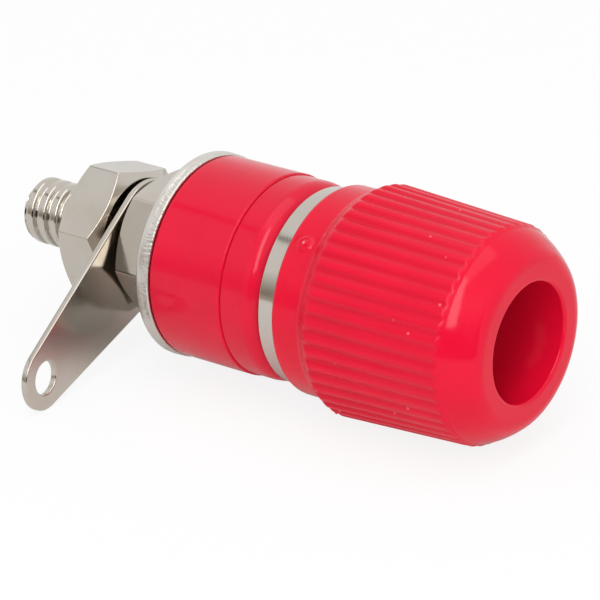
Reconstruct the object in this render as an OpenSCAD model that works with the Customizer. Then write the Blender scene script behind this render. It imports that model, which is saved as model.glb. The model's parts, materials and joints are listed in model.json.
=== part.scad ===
// Panel-mounted binding post with a 4 mm plug socket.
// The axis of the post lies along Y: the screw cap faces -Y and the rear stud +Y.
// The origin is on the axis, in the plane where the front insulator seats on the panel.

/* [Post] */
// Diameter of the rear stud over its thread
stud_d = 4; // [3.4:0.1:4.6]
// Length of stud that stands clear behind the lock nut
stud_free = 4.65; // [2:0.05:9]
// Chamfer on the free end of the stud
stud_chamfer = 0.5; // [0.2:0.05:0.8]
// Diameter of the front stem over its thread
stem_d = 6; // [5.6:0.1:6.4]
// Distance of the stem's mouth behind the front face of the cap
stem_recess = 4.6; // [3.5:0.1:5.5]
// Chamfer on the outer edge of the stem's mouth
stem_chamfer = 0.35; // [0.2:0.05:0.6]
// Diameter of the plug bore
plug_bore_d = 4; // [3.6:0.1:4.4]
// Thickness of metal from the plug bore's full-diameter end to the rear of the collar
plug_floor = 1; // [0.6:0.1:2]
// Chamfer at the mouth of the plug bore
plug_bore_chamfer = 0.3; // [0.1:0.05:0.5]
// Point angle of the drill that ends the plug bore
drill_point_angle = 118; // [90:1:140]
// Diameter of the collar
collar_d = 11.6; // [10:0.1:11.7]
// Thickness of the collar
collar_t = 1.1; // [0.8:0.05:2]
// Rounding of the collar's two edges
collar_round = 0.12; // [0.05:0.01:0.3]
// Diameter of the wire hole across the stem
wire_hole_d = 2.2; // [1.6:0.1:2.6]
// Distance of the wire hole's axis in front of the collar
wire_hole_offset = 2; // [1.5:0.1:3]

/* [Insulators] */
// Diameter of the front insulator
front_insulator_d = 11.8; // [11:0.1:12.4]
// Thickness of the front insulator's flange, from panel to collar
front_insulator_t = 2.7; // [1.8:0.05:5]
// Rounding of the front insulator's shoulder at the collar
shoulder_round = 0.9; // [0.2:0.05:1.2]
// Diameter of the spigot that centres the front insulator in the panel hole
spigot_d = 7.9; // [7:0.1:9]
// Length of the spigot behind the panel seat
spigot_len = 2; // [1:0.1:3.5]
// Diameter of the rear insulator
rear_insulator_d = 12; // [11:0.1:12.4]
// Length of the rear insulator
rear_insulator_len = 5.1; // [4.8:0.1:9]
// Rounding of the rear insulator's end at the washer
rear_round = 0.25; // [0.1:0.05:0.8]
// Rounding of the two insulator edges that meet at the panel seat
seam_round = 0.15; // [0.05:0.05:0.4]

/* [Cap] */
// Length of the cap
cap_len = 13.4; // [12:0.1:16]
// Diameter of the plain band at the rear of the cap
band_d = 12.5; // [12:0.1:12.8]
// Rounding of the cap's rear edge
cap_rear_round = 0.4; // [0.1:0.05:0.7]
// Number of grip ribs
rib_count = 48; // [36:1:50]
// Diameter over the ribs at their rear end
rib_rear_d = 13.7; // [13.4:0.1:14.6]
// Diameter over the ribs at their front end
rib_front_d = 12.8; // [12.5:0.1:13.2]
// Depth of the grooves between the ribs
groove_depth = 0.22; // [0.15:0.01:0.34]
// Radius of the rounded bottom of a groove
groove_r = 0.3; // [0.25:0.01:0.34]
// Distance from the rear rim to where the ribs begin to rise
rib_start = 1.8; // [1.2:0.1:2]
// Length over which the ribs rise to their full height
rib_rise = 1.3; // [0.8:0.1:1.6]
// Length of the smooth nose in front of the ribs
nose_len = 1.6; // [1.5:0.05:2]
// Slope of the nose towards the axis, in degrees
nose_slope = 37; // [32:1:42]
// Length over which the ribs end at the nose
rib_end_run = 0.1; // [0.05:0.01:0.3]
// Rounding between the nose and the front face
nose_round = 0.87; // [0.5:0.01:1]
// Diameter of the cap's mouth
mouth_d = 7; // [6.5:0.1:7.2]
// Width of the flat front face around the mouth
face_w = 0.96; // [0.8:0.01:1.3]
// Rounding of the mouth's edge
mouth_round = 0.2; // [0.05:0.05:0.4]

/* [Cap bush] */
// Outer diameter of the threaded bush in the cap
bush_d = 8.6; // [8:0.1:9.4]
// Length of the bush
bush_len = 6.4; // [5.5:0.1:6.8]
// Depth of the two grooves that lock the bush in the cap
bush_groove = 0.35; // [0.1:0.05:0.5]
// Width of each of those grooves
bush_groove_w = 0.9; // [0.6:0.05:1.2]

/* [Washer and nuts] */
// Outer diameter of the flat washer
washer_d = 12.2; // [10:0.1:12.6]
// Thickness of the flat washer
washer_t = 0.9; // [0.6:0.05:1.5]
// Rounding of the washer's punched front edge
washer_round = 0.2; // [0.05:0.05:0.3]
// Width of the hexagon nuts across their flats
nut_af = 7.7; // [7:0.1:8]
// Thickness of the clamp nut
clamp_nut_t = 3.4; // [2.6:0.1:4]
// Thickness of the lock nut
lock_nut_t = 3.2; // [2.6:0.1:4]
// Diameter of the flat bearing face on each side of a nut
nut_face_d = 7.1; // [6.4:0.05:7.3]
// Slope of the nut's corner chamfers, in degrees
nut_chamfer_slope = 30; // [20:1:35]
// Countersink at each end of a nut's thread
nut_countersink = 0.25; // [0.1:0.05:0.4]
// Turn of the clamp nut's corners about the axis, in degrees
clamp_nut_turn = 6.5; // [0:0.5:60]
// Turn of the lock nut's corners about the axis, in degrees
lock_nut_turn = 47.5; // [0:0.5:60]
// Play of the loose solder tag between the two nuts
tag_play = 0.75; // [0.1:0.05:2]

/* [Solder tag] */
// Thickness of the tag
tag_t = 0.4; // [0.3:0.05:0.8]
// Diameter of the tag's ring on the stud
tag_ring_d = 7.1; // [6:0.1:9]
// Distance of the eye from the stud's axis
tag_reach = 12.2; // [9:0.1:16]
// Width of the rounded end of the tag
tag_end_d = 3.8; // [3:0.1:5]
// Diameter of the eye
tag_eye_d = 2; // [1.2:0.1:2.4]
// Direction of the tag about the axis, in degrees from +X towards +Z
tag_turn = 204; // [0:0.5:359.5]

/* [Fits] */
// Radial clearance of each nut and of the bush on its thread
thread_clearance = 0.03; // [0.01:0.01:0.08]
// Radial clearance between the bush and the cap
bush_clearance = 0.02; // [0.01:0.01:0.05]
// Radial clearance of the stud in the insulators
stud_clearance = 0.1; // [0.05:0.01:0.3]
// Radial clearance of the stud in the washer and the tag
washer_clearance = 0.15; // [0.05:0.01:0.3]
// Radial and end clearance of the spigot in the rear insulator
spigot_clearance = 0.1; // [0.05:0.01:0.3]
// Clearance between the leaning tag and each nut
tag_clearance = 0.02; // [0.01:0.01:0.04]

/* [Hidden] */
$fn = 96;
// Overshoot of a cutter past the face it opens
past = 1;
// Depth to which the tag's straight edges sink into its round ends
edge_sink = 0.01;

// Stations along the axis, counted forwards from the panel seat
collar_rear = front_insulator_t;
collar_front = collar_rear + collar_t;
cap_front = collar_front + cap_len;
stem_front = cap_front - stem_recess;
washer_front = -rear_insulator_len;
clamp_nut_front = washer_front - washer_t;
tag_front = clamp_nut_front - clamp_nut_t;
lock_nut_front = tag_front - tag_t - tag_play;
stud_end = lock_nut_front - lock_nut_t - stud_free;

// Radii of the cap's profile
band_r = band_d / 2;
rib_rear_r = rib_rear_d / 2;
rib_front_r = rib_front_d / 2;
face_r = mouth_d / 2 + face_w;
// Stations of the cap's profile, counted forwards from its rear rim
rib_full = rib_start + rib_rise;
rib_end = cap_len - nose_len;
// Draft of the ribbed wall
draft = atan((rib_rear_r - rib_front_r) / (rib_end - rib_full));
// Where the nose leaves its front rounding
nose_tip = [face_r + nose_round * cos(nose_slope), cap_len - nose_round * (1 - sin(nose_slope))];
// Where the nose begins, at the foot of the ribs' front ends
nose_root_z = rib_end + rib_end_run;
nose_root = [nose_tip[0] + (nose_tip[1] - nose_root_z) * tan(nose_slope), nose_root_z];

// Lean of the loose tag, from the rim of the clamp nut's face to the lock nut's face
tag_span = (nut_face_d + tag_ring_d) / 2;
tag_slot = tag_t + tag_play - 2 * tag_clearance;
tag_lean = acos(tag_t / norm([tag_span, tag_slot])) - atan2(tag_span, tag_slot);
// Station at which the tag's middle plane crosses the axis
tag_middle = tag_front - tag_clearance - nut_face_d / 2 * tan(tag_lean) - tag_t / 2 / cos(tag_lean);

function on_circle(centre, r, angle) = centre + r * [cos(angle), sin(angle)];

// Stands a shape made about Z on the post's axis, with its +Z towards the cap
module on_axis(station = 0) {
    translate([0, -station, 0]) rotate([90, 0, 0]) children();
}

// Half section of a disc: radius r from height z0 to z1, with its two outer edges rounded
module disc_section(r, z0, z1, round0, round1) {
    polygon([[0, z0], [r - round0, z0], [r, z0 + round0],
             [r, z1 - round1], [r - round1, z1], [0, z1]]);
    translate([r - round0, z0 + round0]) circle(round0);
    translate([r - round1, z1 - round1]) circle(round1);
}

module hole(d, z0, z1) {
    translate([0, 0, z0]) cylinder(d = d, h = z1 - z0);
}

// Outer form of the bush, or of its pocket in the cap when it is grown by a clearance
module bush_form(grow) {
    r = bush_d / 2 + grow;
    neck_r = r - bush_groove;
    groove_w = bush_groove_w - 2 * grow;
    hole(2 * neck_r, 0, bush_len);
    land = (bush_len - 2 * bush_groove_w) / 3;
    end_land = land + grow;
    hole(2 * r, 0, end_land);
    hole(2 * r, end_land + groove_w, bush_len - end_land - groove_w);
    hole(2 * r, bush_len - end_land, bush_len);
}

// Half section of the cap over its ribs, without its inside
module cap_section() {
    polygon([[0, 0], [band_r - cap_rear_round, 0], [band_r, cap_rear_round],
             [band_r, rib_start], [rib_rear_r, rib_full], [rib_front_r, rib_end],
             nose_root, nose_tip, [face_r, cap_len], [0, cap_len]]);
    translate([band_r - cap_rear_round, cap_rear_round]) circle(cap_rear_round);
    translate([face_r, cap_len - nose_round]) circle(nose_round);
}

// The grooves that leave the ribs standing, leaning inwards with the draft
module grooves() {
    centre_r = rib_rear_r + (groove_r - groove_depth) / cos(draft);
    for (i = [0 : rib_count - 1])
        rotate(i * 360 / rib_count)
            translate([centre_r, 0, rib_full]) rotate([0, -draft, 0])
                hole(2 * groove_r, -rib_full, cap_len - rib_full);
}

module mouth_edge() {
    rotate_extrude() difference() {
        translate([mouth_d / 2 - past, cap_len - mouth_round])
            square([past + mouth_round, mouth_round + past]);
        translate([mouth_d / 2 + mouth_round, cap_len - mouth_round]) circle(mouth_round);
    }
}

module cap() {
    color([0.90, 0.10, 0.20]) on_axis(collar_front) difference() {
        rotate_extrude() cap_section();
        grooves();
        bush_form(bush_clearance);
        hole(mouth_d, 0, cap_len + past);
        mouth_edge();
        hole(bush_d + 2 * bush_clearance, -past, past);
    }
}

module cap_bush() {
    color([0.80, 0.78, 0.74]) on_axis(collar_front) difference() {
        bush_form(0);
        hole(stem_d + 2 * thread_clearance, -past, bush_len + past);
    }
}

// Half section of the turned post: stud, collar and stem
module post_section() {
    stud_r = stud_d / 2;
    stem_r = stem_d / 2;
    polygon([[0, stud_end], [stud_r - stud_chamfer, stud_end], [stud_r, stud_end + stud_chamfer],
             [stud_r, collar_rear + collar_t / 2], [stem_r, collar_rear + collar_t / 2],
             [stem_r, stem_front - stem_chamfer], [stem_r - stem_chamfer, stem_front],
             [0, stem_front]]);
    disc_section(collar_d / 2, collar_rear, collar_front, collar_round, collar_round);
}

module plug_bore() {
    floor_z = collar_rear + plug_floor;
    point_h = plug_bore_d / 2 / tan(drill_point_angle / 2);
    hole(plug_bore_d, floor_z, stem_front + past);
    translate([0, 0, floor_z - point_h]) cylinder(d1 = 0, d2 = plug_bore_d, h = point_h);
    translate([0, 0, stem_front - plug_bore_chamfer])
        cylinder(d1 = plug_bore_d, d2 = plug_bore_d + 2 * (plug_bore_chamfer + past),
                 h = plug_bore_chamfer + past);
}

module socket_post() {
    color([0.78, 0.76, 0.72]) on_axis() difference() {
        rotate_extrude() post_section();
        plug_bore();
        translate([0, 0, collar_front + wire_hole_offset]) rotate([90, 0, 0])
            cylinder(d = wire_hole_d, h = stem_d + 2 * past, center = true);
    }
}

module front_insulator() {
    color([0.86, 0.12, 0.22]) on_axis() difference() {
        union() {
            rotate_extrude()
                disc_section(front_insulator_d / 2, 0, front_insulator_t, seam_round, shoulder_round);
            hole(spigot_d, -spigot_len, front_insulator_t / 2);
        }
        hole(stud_d + 2 * stud_clearance, -spigot_len - past, front_insulator_t + past);
    }
}

module rear_insulator() {
    recess_depth = spigot_len + spigot_clearance;
    color([0.86, 0.12, 0.22]) on_axis() difference() {
        rotate_extrude()
            disc_section(rear_insulator_d / 2, -rear_insulator_len, 0, rear_round, seam_round);
        hole(spigot_d + 2 * spigot_clearance, -recess_depth, past);
        hole(stud_d + 2 * stud_clearance, -rear_insulator_len - past, past);
    }
}

module flat_washer() {
    color([0.82, 0.80, 0.77]) on_axis(washer_front) difference() {
        rotate_extrude() disc_section(washer_d / 2, -washer_t, 0, washer_round / 2, washer_round);
        hole(stud_d + 2 * washer_clearance, -washer_t - past, past);
    }
}

// A hexagon nut that reaches back from its front face, chamfered on both sides
module hex_nut(turn, thickness) {
    bore_d = stud_d + 2 * thread_clearance;
    bearing_r = nut_face_d / 2;
    outer_r = nut_af / sqrt(3) + past;
    drop = (outer_r - bearing_r) * tan(nut_chamfer_slope);
    difference() {
        intersection() {
            rotate(turn) translate([0, 0, -thickness])
                cylinder(d = nut_af / cos(30), h = thickness, $fn = 6);
            rotate_extrude()
                polygon([[0, -thickness], [bearing_r, -thickness], [outer_r, -thickness + drop],
                         [outer_r, -drop], [bearing_r, 0], [0, 0]]);
        }
        hole(bore_d, -thickness - past, past);
        for (z = [-thickness, 0])
            translate([0, 0, z]) mirror([0, 0, z < 0 ? 1 : 0])
                translate([0, 0, -nut_countersink])
                    cylinder(d1 = bore_d, d2 = bore_d + 4 * nut_countersink, h = 2 * nut_countersink);
    }
}

module clamp_nut() {
    color([0.76, 0.74, 0.70]) on_axis(clamp_nut_front) hex_nut(clamp_nut_turn, clamp_nut_t);
}

module lock_nut() {
    color([0.76, 0.74, 0.70]) on_axis(lock_nut_front) hex_nut(lock_nut_turn, lock_nut_t);
}

// Flat outline of the tag, with its eye on +X: the straight edges run along both round ends
module tag_outline() {
    ring_r = tag_ring_d / 2;
    end_r = tag_end_d / 2;
    ring_edge = ring_r - edge_sink;
    end_edge = end_r - edge_sink;
    eye = [tag_reach, 0];
    lean = acos((ring_r - end_r) / tag_reach);
    difference() {
        union() {
            circle(ring_r);
            translate(eye) circle(end_r);
            polygon([on_circle([0, 0], ring_edge, lean), on_circle([0, 0], ring_edge, -lean),
                     on_circle(eye, end_edge, -lean), on_circle(eye, end_edge, lean)]);
        }
        circle(d = stud_d + 2 * washer_clearance);
        translate(eye) circle(d = tag_eye_d);
    }
}

module solder_tag() {
    color([0.80, 0.78, 0.74]) on_axis(tag_middle) rotate([0, -tag_lean, tag_turn])
        translate([0, 0, -tag_t / 2]) linear_extrude(tag_t) tag_outline();
}

cap();
cap_bush();
socket_post();
front_insulator();
rear_insulator();
flat_washer();
clamp_nut();
solder_tag();
lock_nut();
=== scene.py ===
"""Dresses a packed panel binding post: cap, body, turned post, nuts, washer and tag, in a white studio."""

import json
import math

import bmesh
import bpy
import numpy as np
from bpy.props import FloatProperty, FloatVectorProperty, IntProperty, PointerProperty
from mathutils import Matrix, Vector

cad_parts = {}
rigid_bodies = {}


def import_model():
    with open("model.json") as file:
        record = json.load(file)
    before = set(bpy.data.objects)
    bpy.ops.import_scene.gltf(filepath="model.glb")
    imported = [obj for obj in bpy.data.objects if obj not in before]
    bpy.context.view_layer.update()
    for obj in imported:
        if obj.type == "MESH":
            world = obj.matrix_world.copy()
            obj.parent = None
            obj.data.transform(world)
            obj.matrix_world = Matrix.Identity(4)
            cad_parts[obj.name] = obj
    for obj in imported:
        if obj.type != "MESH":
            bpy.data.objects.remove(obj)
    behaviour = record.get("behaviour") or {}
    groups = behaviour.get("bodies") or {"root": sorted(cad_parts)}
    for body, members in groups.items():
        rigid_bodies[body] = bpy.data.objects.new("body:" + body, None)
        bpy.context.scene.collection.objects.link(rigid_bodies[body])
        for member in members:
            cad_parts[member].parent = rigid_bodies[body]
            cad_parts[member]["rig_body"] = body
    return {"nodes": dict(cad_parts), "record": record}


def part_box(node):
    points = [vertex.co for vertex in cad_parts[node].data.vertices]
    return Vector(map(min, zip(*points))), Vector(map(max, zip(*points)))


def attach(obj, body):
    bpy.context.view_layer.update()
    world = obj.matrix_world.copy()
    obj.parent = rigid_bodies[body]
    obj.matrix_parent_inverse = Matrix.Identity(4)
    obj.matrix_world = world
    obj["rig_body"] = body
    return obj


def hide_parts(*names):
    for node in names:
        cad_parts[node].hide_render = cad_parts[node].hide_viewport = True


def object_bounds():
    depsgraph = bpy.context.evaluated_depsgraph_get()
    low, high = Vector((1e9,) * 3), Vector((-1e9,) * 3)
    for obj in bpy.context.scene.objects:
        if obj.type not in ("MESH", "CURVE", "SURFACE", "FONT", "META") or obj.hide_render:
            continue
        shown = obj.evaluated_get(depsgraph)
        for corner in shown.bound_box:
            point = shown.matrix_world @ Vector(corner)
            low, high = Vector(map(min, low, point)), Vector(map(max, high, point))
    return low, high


bl_info = {
    "name": "Panel binding post",
    "version": (1, 0, 0),
    "blender": (4, 5, 0),
    "location": "View3D > Sidebar > Binding Post",
    "description": "Builds the cap, post, body and hardware of a panel binding post in a plain studio",
    "category": "Object",
}

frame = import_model()
CAD_BOX = [list(corner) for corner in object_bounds()]

MM = 0.001
MICRON = 0.001 * MM
# Distance from the end of an arc to the point that keeps the flat beside it flat
GUARD = 0.02 * MM
# Rounds of the minor edges: an inner corner, a plain edge and an eased one
FINE_EDGE, PLAIN_EDGE, EASED_EDGE = 0.05 * MM, 0.1 * MM, 0.2 * MM
# Width of the camera's sensor in millimetres
SENSOR_WIDTH = 36

MOUNTS = {mount["name"]: mount for mount in frame["record"]["mounts"]}


def reach(node):
    """Rear and front station of a CAD node: a station counts along -Y from the panel seat."""
    low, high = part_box(node)
    return -high.y, -low.y


def half_width(node):
    """Radius of a round CAD node about the post's axis."""
    low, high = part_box(node)
    return (high.x - low.x) / 2


def length(name, description, millimetres):
    """A length property whose default is given in millimetres."""
    return FloatProperty(name=name, description=description, default=millimetres * MM, min=0.0, unit="LENGTH",
                         precision=5)


def turn(name, description, degrees):
    """An angle property whose default is given in degrees."""
    return FloatProperty(name=name, description=description, default=math.radians(degrees), subtype="ANGLE")


def factor(name, description, value):
    """A property between 0 and 1."""
    return FloatProperty(name=name, description=description, default=value, min=0.0, max=1.0,
                         subtype="FACTOR")


def power(name, description, watts):
    """The power of a light."""
    return FloatProperty(name=name, description=description, default=watts, min=0.0, unit="POWER")


def colour(name, description, value):
    """A linear colour property."""
    return FloatVectorProperty(name=name, description=description, default=value, size=3, min=0.0, max=1.0,
                               subtype="COLOR")


class CapSettings(bpy.types.PropertyGroup):
    """Sizes of the ribbed screw cap."""

    ribs: IntProperty(name="Ribs", description="Number of grip ribs", default=48, min=12)
    groove_depth: length("Groove depth", "Depth of the grooves at the rear ends of the ribs", 0.19)
    groove_fade: factor("Groove fade", "Share of the grooves' depth that is lost towards the nose", 0.45)
    groove_power: FloatProperty(name="Groove power", default=1.5, min=1.0, max=6.0,
                                description="How narrow the grooves are between the ribs' lands")
    rib_turn: turn("Rib turn", "Turn of the ribs about the axis", -3.0)
    rib_softness: length("Rib softness", "Blend between a rib's top and the grooves beside it", 0.07)
    band_radius: length("Band radius", "Radius of the plain band at the rear", 6.18)
    rear_round: length("Rear round", "Rounding of the rear edge", 0.35)
    rib_start: length("Rib start", "Distance from the rear rim to where the ribs begin to rise", 2.0)
    rib_rise: length("Rib rise", "Length over which the ribs rise to their full height", 0.95)
    rise_round: length("Rise round", "Rounding where the band turns into the ribs", 0.55)
    rib_front_radius: length("Rib front radius", "Radius over the ribs at their front end", 6.43)
    rib_end_run: length("Rib end run", "Length over which the ribs end at the nose", 0.35)
    nose_length: length("Nose length", "Length of the nose from the ribs' front ends to the face", 2.1)
    nose_slope: turn("Nose slope", "Slope of the nose towards the axis", 35.5)
    nose_round: length("Nose round", "Rounding between the nose and the front face", 0.9)
    nose_crown: length("Nose crown", "Bulge of the nose's slope over a straight cone", 0.13)
    face_width: length("Face width", "Width of the flat front face round the mouth", 0.96)
    mouth_radius: length("Mouth radius", "Radius of the mouth", 3.5)
    mouth_round: length("Mouth round", "Rounding of the mouth's edge", 0.2)
    pocket_play: length("Pocket play", "Radial clearance between the cap and its bush", 0.02)
    gate_offset: length("Gate offset", "Distance of the gate mark from the rear rim", 1.15)
    gate_height: length("Gate height", "Height of the nub in the middle of the gate mark", 0.3)
    gate_nub: length("Gate nub", "Width of the nub in the middle of the gate mark", 0.34)
    gate_ring: length("Gate ring", "Radius of the witness ring round the gate mark", 0.36)
    gate_turn: turn("Gate turn", "Direction of the gate mark about the axis", 135)
    flash_height: length("Flash height", "Height of the moulding flash at the rear ends of the ribs", 0.08)


class PostSettings(bpy.types.PropertyGroup):
    """Sizes of the turned post."""

    stud_radius: length("Stud radius", "Radius of the rear stud over its thread", 2.0)
    stud_pitch: length("Stud pitch", "Pitch of the stud's thread", 0.9)
    stud_thread_depth: length("Stud thread depth", "Depth of the stud's thread", 0.28)
    stud_chamfer: length("Stud chamfer", "Chamfer on the stud's free end", 0.5)
    stem_radius: length("Stem radius", "Radius of the front stem over its thread", 3.0)
    stem_pitch: length("Stem pitch", "Pitch of the stem's thread", 1.0)
    stem_thread_depth: length("Stem thread depth", "Depth of the stem's thread", 0.5)
    stem_chamfer: length("Stem chamfer", "Chamfer on the stem's mouth", 0.35)
    collar_thickness: length("Collar thickness", "Thickness of the collar", 1.1)
    collar_round: length("Collar round", "Rounding of the collar's edges", 0.06)
    plug_floor: length("Plug floor", "Metal between the plug bore's end and the rear of the collar", 1.0)
    plug_chamfer: length("Plug chamfer", "Chamfer at the mouth of the plug bore", 0.3)
    drill_angle: turn("Drill angle", "Point angle of the drill that ends the plug bore", 118)


class BodySettings(bpy.types.PropertyGroup):
    """Sizes of the two insulators."""

    hole_radius: length("Hole radius", "Radius of the hole for the stud", 2.1)
    shoulder_round: length("Shoulder round", "Rounding of the front insulator at the collar", 1.2)
    seam_round: length("Seam round", "Rounding of the edges that meet at the panel seat", 0.12)
    rear_round: length("Rear round", "Rounding of the rear insulator at the washer", 0.25)
    spigot_play: length("Spigot play", "Clearance of the spigot in the rear insulator", 0.1)


class HardwareSettings(bpy.types.PropertyGroup):
    """Sizes of the washer, the nuts and the solder tag."""

    washer_hole: length("Washer hole", "Radius of the hole in the washer and in the tag's ring", 2.15)
    washer_round: length("Washer round", "Rounding of the washer's punched rear edge", 0.2)
    washer_tear: length("Washer tear", "Roughness of the torn part of the washer's rim", 0.035)
    nut_flats: length("Nut across flats", "Width of the nuts across their flats", 7.7)
    nut_corner: length("Nut corner", "Rounding of the nuts' six corners", 0.14)
    nut_face: length("Nut face", "Radius of the flat face on each side of a nut", 3.55)
    nut_slope: turn("Nut slope", "Slope of the chamfers that take off a nut's corners", 30)
    nut_bore: length("Nut bore", "Radius of a nut's bore", 2.03)
    nut_countersink: length("Nut countersink", "Countersink at each end of a nut's bore", 0.25)
    clamp_nut_turn: turn("Clamp nut turn", "Turn of the clamp nut's corners about the axis", 6.5)
    lock_nut_turn: turn("Lock nut turn", "Turn of the lock nut's corners about the axis", 47.5)
    tag_ring: length("Tag ring", "Radius of the tag's ring on the stud", 3.55)
    tag_end: length("Tag end", "Radius of the tag's rounded end", 1.9)
    tag_edge: length("Tag edge", "Rounding of the tag's stamped edges", 0.07)


class FinishSettings(bpy.types.PropertyGroup):
    """Colours and roughness of the materials."""

    cap_red: colour("Cap red", "Colour of the moulded cap", (0.73, 0.004, 0.031))
    cap_roughness: factor("Cap roughness", "Roughness of the cap's surface", 0.13)
    grip_roughness: factor("Grip roughness", "Roughness of the cap's ribbed grip", 0.3)
    # Painted shade: how far the base colour is darkened towards black in the grip's grooves
    painted_groove_shade: factor("Groove shade", "How much darker the plastic is in the grooves of the grip", 0.14)
    body_red: colour("Body red", "Colour of the moulded insulators", (0.70, 0.007, 0.036))
    body_roughness: factor("Body roughness", "Roughness of the insulators' surface", 0.12)
    plastic_shine: factor("Plastic shine", "Strength of the reflections on the plastic", 0.2)
    nickel: colour("Nickel", "Colour of the nickel plating", (0.535, 0.50, 0.452))
    nickel_roughness: factor("Nickel roughness", "Roughness of the nickel plating", 0.12)
    tag_roughness: factor("Tag roughness", "Roughness of the stamped tag's plating", 0.16)
    washer_steel: colour("Washer steel", "Colour of the plated steel washer", (0.64, 0.62, 0.585))
    washer_roughness: factor("Washer roughness", "Roughness of the plated steel washer", 0.3)


class StageSettings(bpy.types.PropertyGroup):
    """Camera, light and floor."""

    camera_turn: turn("Camera turn", "Direction of the camera about the upright axis", -52.776)
    camera_rise: turn("Camera rise", "Height of the camera above the horizon", 21.726)
    camera_distance: length("Camera distance", "Distance of the camera from its aim", 220.603)
    camera_aim: FloatVectorProperty(name="Camera aim", description="Point that the camera looks at",
                                    default=(0.0415 * MM, -1.2426 * MM, -1.2721 * MM), size=3, unit="LENGTH")
    focal_length: FloatProperty(name="Focal length", default=229.8, min=10.0, unit="CAMERA",
                                description=f"Focal length of the camera on a {SENSOR_WIDTH} mm sensor")
    room_light: factor("Room light", "Brightness of the white room on the object", 0.52)
    key_power: power("Key power", "Power of the tall softbox beside the camera", 1.05)
    top_power: power("Top power", "Power of the broad softbox over the part", 0.95)
    front_power: power("Front power", "Power of the softbox in front of the cap's mouth", 1.15)
    floor_shadow: factor("Floor shadow", "How much of the floor's own shading the camera sees", 0.14)
    mirrored_shadow: factor("Mirrored shadow", "How much of that shading shows in reflections", 0.85)


class BindingPostSettings(bpy.types.PropertyGroup):
    """All the settings of the binding post."""

    cap: PointerProperty(type=CapSettings)
    post: PointerProperty(type=PostSettings)
    body: PointerProperty(type=BodySettings)
    hardware: PointerProperty(type=HardwareSettings)
    finish: PointerProperty(type=FinishSettings)
    stage: PointerProperty(type=StageSettings)


def unit(vectors):
    """Vectors scaled to length 1."""
    return vectors / np.linalg.norm(vectors, axis=-1, keepdims=True)


def rounded(corners, radii, steps=6):
    """Closed outlines with an arc at each corner.

    A corner that turns by t is cut back by radius * tan(t / 2) along both of its sides. The arc's centre lies
    one radius inwards of the first cut, and the arc runs from there as
    centre + radius * (arriving * sin - inward * cos). A guard point beyond each end keeps the straight sides
    flat under smooth shading.
    Corners are (..., n, 2) and radii (n,); the outline is (..., n * (steps + 3), 2).
    """
    corners = np.asarray(corners, dtype=float)
    radii = np.asarray(radii, dtype=float)[:, None]
    arriving = unit(corners - np.roll(corners, 1, axis=-2))
    leaving = unit(np.roll(corners, -1, axis=-2) - corners)
    across = np.stack([-arriving[..., 1], arriving[..., 0]], axis=-1)
    bend = np.arctan2((leaving * across).sum(-1), (leaving * arriving).sum(-1))[..., None]
    inward = np.sign(bend) * across
    centre = corners - radii * np.tan(abs(bend) / 2) * arriving + radii * inward
    swept = (abs(bend) * np.linspace(0, 1, steps + 1))[..., None]
    spokes = arriving[..., None, :] * np.sin(swept) - inward[..., None, :] * np.cos(swept)
    arc = centre[..., None, :] + radii[..., None] * spokes
    before = arc[..., :1, :] - GUARD * arriving[..., None, :]
    after = arc[..., -1:, :] + GUARD * leaving[..., None, :]
    outline = np.concatenate([before, arc, after], axis=-2)
    return outline.reshape(corners.shape[:-2] + (-1, 2))


def filled(outline, spacing, wanted=None):
    """The outline with points added at an even spacing, where wanted(station, radius) holds.

    The new points are read off the outline by its arc length, and those close to an old point are left out.
    """
    closed = np.vstack([outline, outline[:1]])
    travel = np.concatenate([[0.0], np.cumsum(np.linalg.norm(np.diff(closed, axis=0), axis=1))])
    extra = np.arange(spacing, travel[-1], spacing)
    extra = extra[abs(extra[:, None] - travel).min(axis=1) > 0.4 * spacing]
    if wanted is not None:
        extra = extra[wanted(np.interp(extra, travel, closed[:, 0]), np.interp(extra, travel, closed[:, 1]))]
    along = np.sort(np.concatenate([travel[:-1], extra]))
    return np.stack([np.interp(along, travel, closed[:, 0]), np.interp(along, travel, closed[:, 1])], axis=-1)


def around(columns):
    """Even angles about the axis, from +X towards +Z, as one row."""
    return np.linspace(0, 2 * np.pi, columns, endpoint=False)[None, :]


def placed(station, radius, angle):
    """Points about the post's axis: X = radius * cos(angle), Y = -station and Z = radius * sin(angle)."""
    station, radius, angle = np.broadcast_arrays(station, radius, angle)
    return np.stack([radius * np.cos(angle), -station, radius * np.sin(angle)], axis=-1)


def grid_faces(rows, columns, rows_close=True):
    """Faces of a grid whose columns close into a ring, and whose rows close too if they are asked to."""
    index = np.arange(rows * columns).reshape(rows, columns)
    if rows_close:
        index = np.vstack([index, index[:1]])
    here, there = index[:-1], index[1:]
    corners = [here, there, np.roll(there, -1, axis=1), np.roll(here, -1, axis=1)]
    return np.stack(corners, axis=-1).reshape(-1, 4)


def step_up(value, start, end):
    """Smooth step: 3t^2 - 2t^3 with t running from 0 at start to 1 at end."""
    share = np.clip((value - start) / (end - start), 0, 1)
    return share * share * (3 - 2 * share)


def lesser(first, second, blend):
    """Smooth minimum: (a + b - sqrt((a - b)^2 + blend^2)) / 2."""
    return (first + second - np.sqrt((first - second) ** 2 + blend ** 2)) / 2


def swung(angle, direction):
    """Angle from a direction, between minus and plus half a turn."""
    return np.mod(angle - direction + np.pi, 2 * np.pi) - np.pi


# Waves of a torn rim: most lobes round the axis, and most radians of phase for each millimetre along it
RIPPLE_LOBES, RIPPLE_PITCH = 300, 14


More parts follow.
